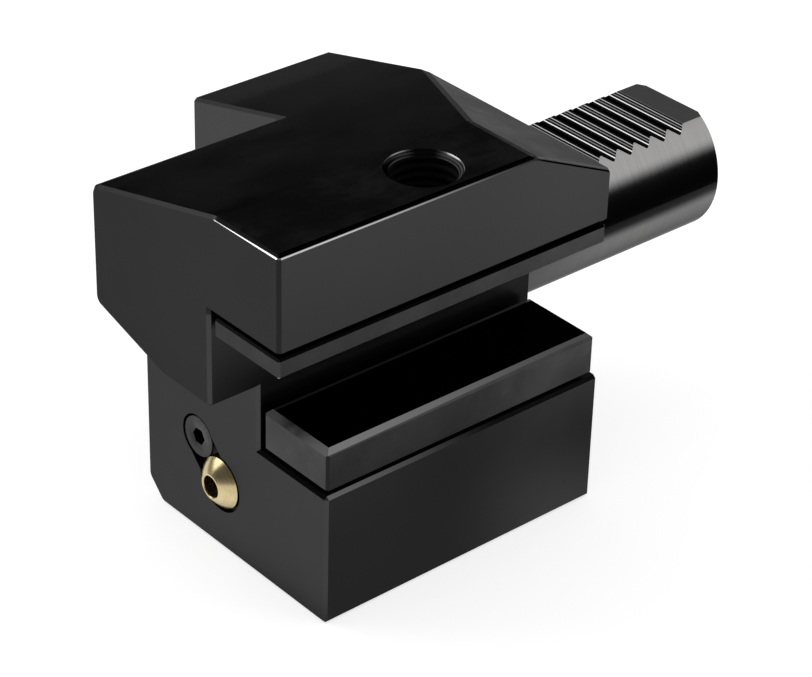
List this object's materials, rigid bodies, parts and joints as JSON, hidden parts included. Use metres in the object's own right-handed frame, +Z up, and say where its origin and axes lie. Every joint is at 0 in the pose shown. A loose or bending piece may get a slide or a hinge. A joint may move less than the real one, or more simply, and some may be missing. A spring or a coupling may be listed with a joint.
{
  "type": "turret tool holder",
  "caption": "Turret tool holder with a round toothed shank, a side-open square tool slot, a screw-driven pressure strip and a swivelling coolant nozzle.",
  "frame": {"origin": "on the shank's axis, at the flange's back face that seats on the turret", "axes": "+Y along the shank into the turret, +X towards the open side of the tool slot, +Z up, towards the shank's toothed flat"},
  "size_m": [0.079, 0.1292, 0.0783],
  "materials": {
    "blackened_steel": "black oxide, satin; shank ground",
    "blackened_strip": "black oxide, satin",
    "blackened_bar": "black oxide, polished top",
    "black_screw": "black oxide",
    "ground_steel": "ground",
    "spring_steel": "drawn wire",
    "nozzle_brass": "turned",
    "seal_rubber": "matt"
  },
  "bodies": {
    "holder": {"holder_body": "blackened_steel", "bar_guide_pins": "ground_steel", "coolant_channel_plug": "black_screw", "coolant_inlet_seal": "seal_rubber", "shank_seal_ring": "seal_rubber"},
    "strip": {"pressure_strip": "blackened_strip", "strip_guide_pins": "ground_steel", "strip_pin_rings": "seal_rubber", "clamp_screw_foot": "ground_steel"},
    "clamp": {"clamp_screw": "black_screw"},
    "bar": {"support_bar": "blackened_bar", "bar_retaining_screw": "black_screw", "bar_return_spring": "spring_steel"},
    "front_jack": {"front_jack_screw": "black_screw"},
    "rear_jack": {"rear_jack_screw": "black_screw"},
    "nozzle_ring": {"nozzle_seat_ring": "seal_rubber"},
    "nozzle": {"nozzle_ball": "nozzle_brass"},
    "nozzle_lock": {"nozzle_lock_screw": "black_screw"}
  },
  "joints": [
    {"name": "strip_slide", "type": "slide", "parent": "holder", "child": "strip", "axis": [0, 0, -1], "range_m": [-0.00055, 0.002]},
    {"name": "clamp_screw_turn", "type": "hinge", "parent": "strip", "child": "clamp", "pos_m": [0.0286, -0.036, 0.025], "axis": [0, 0, -1], "range_deg": [-115, 412]},
    {"name": "bar_slide", "type": "slide", "parent": "holder", "child": "bar", "axis": [0, 0, 1], "range_m": [-0.0009, 0.001], "deforming": ["bar_return_spring"]},
    {"name": "front_jack_turn", "type": "hinge", "parent": "bar", "child": "front_jack", "pos_m": [0.02875, -0.0463, -0.019], "axis": [0, 0, 1], "range_deg": [-260, 289]},
    {"name": "rear_jack_turn", "type": "hinge", "parent": "bar", "child": "rear_jack", "pos_m": [0.02875, -0.0183, -0.019], "axis": [0, 0, 1], "range_deg": [-260, 289]},
    {"name": "nozzle_turn", "type": "hinge", "parent": "holder", "child": "nozzle_ring", "pos_m": [0.0072, -0.0626, -0.026], "axis": [0, -1, 0], "continuous": true},
    {"name": "nozzle_tilt", "type": "hinge", "parent": "nozzle_ring", "child": "nozzle", "pos_m": [0.0072, -0.0626, -0.026], "axis": [1, 0, 0], "range_deg": [-15, 15]},
    {"name": "nozzle_lock_turn", "type": "hinge", "parent": "holder", "child": "nozzle_lock", "pos_m": [0.0008, -0.06, -0.0193], "axis": [0, 1, 0], "range_deg": [-180, 0]}
  ],
  "couplings": [
    {"joint": "clamp_screw_turn", "follows": "strip_slide", "rad_per_m": 3590.4},
    {"joint": "front_jack_turn", "follows": "bar_slide", "rad_per_m": 5026.5},
    {"joint": "rear_jack_turn", "follows": "bar_slide", "rad_per_m": 5026.5}
  ]
}
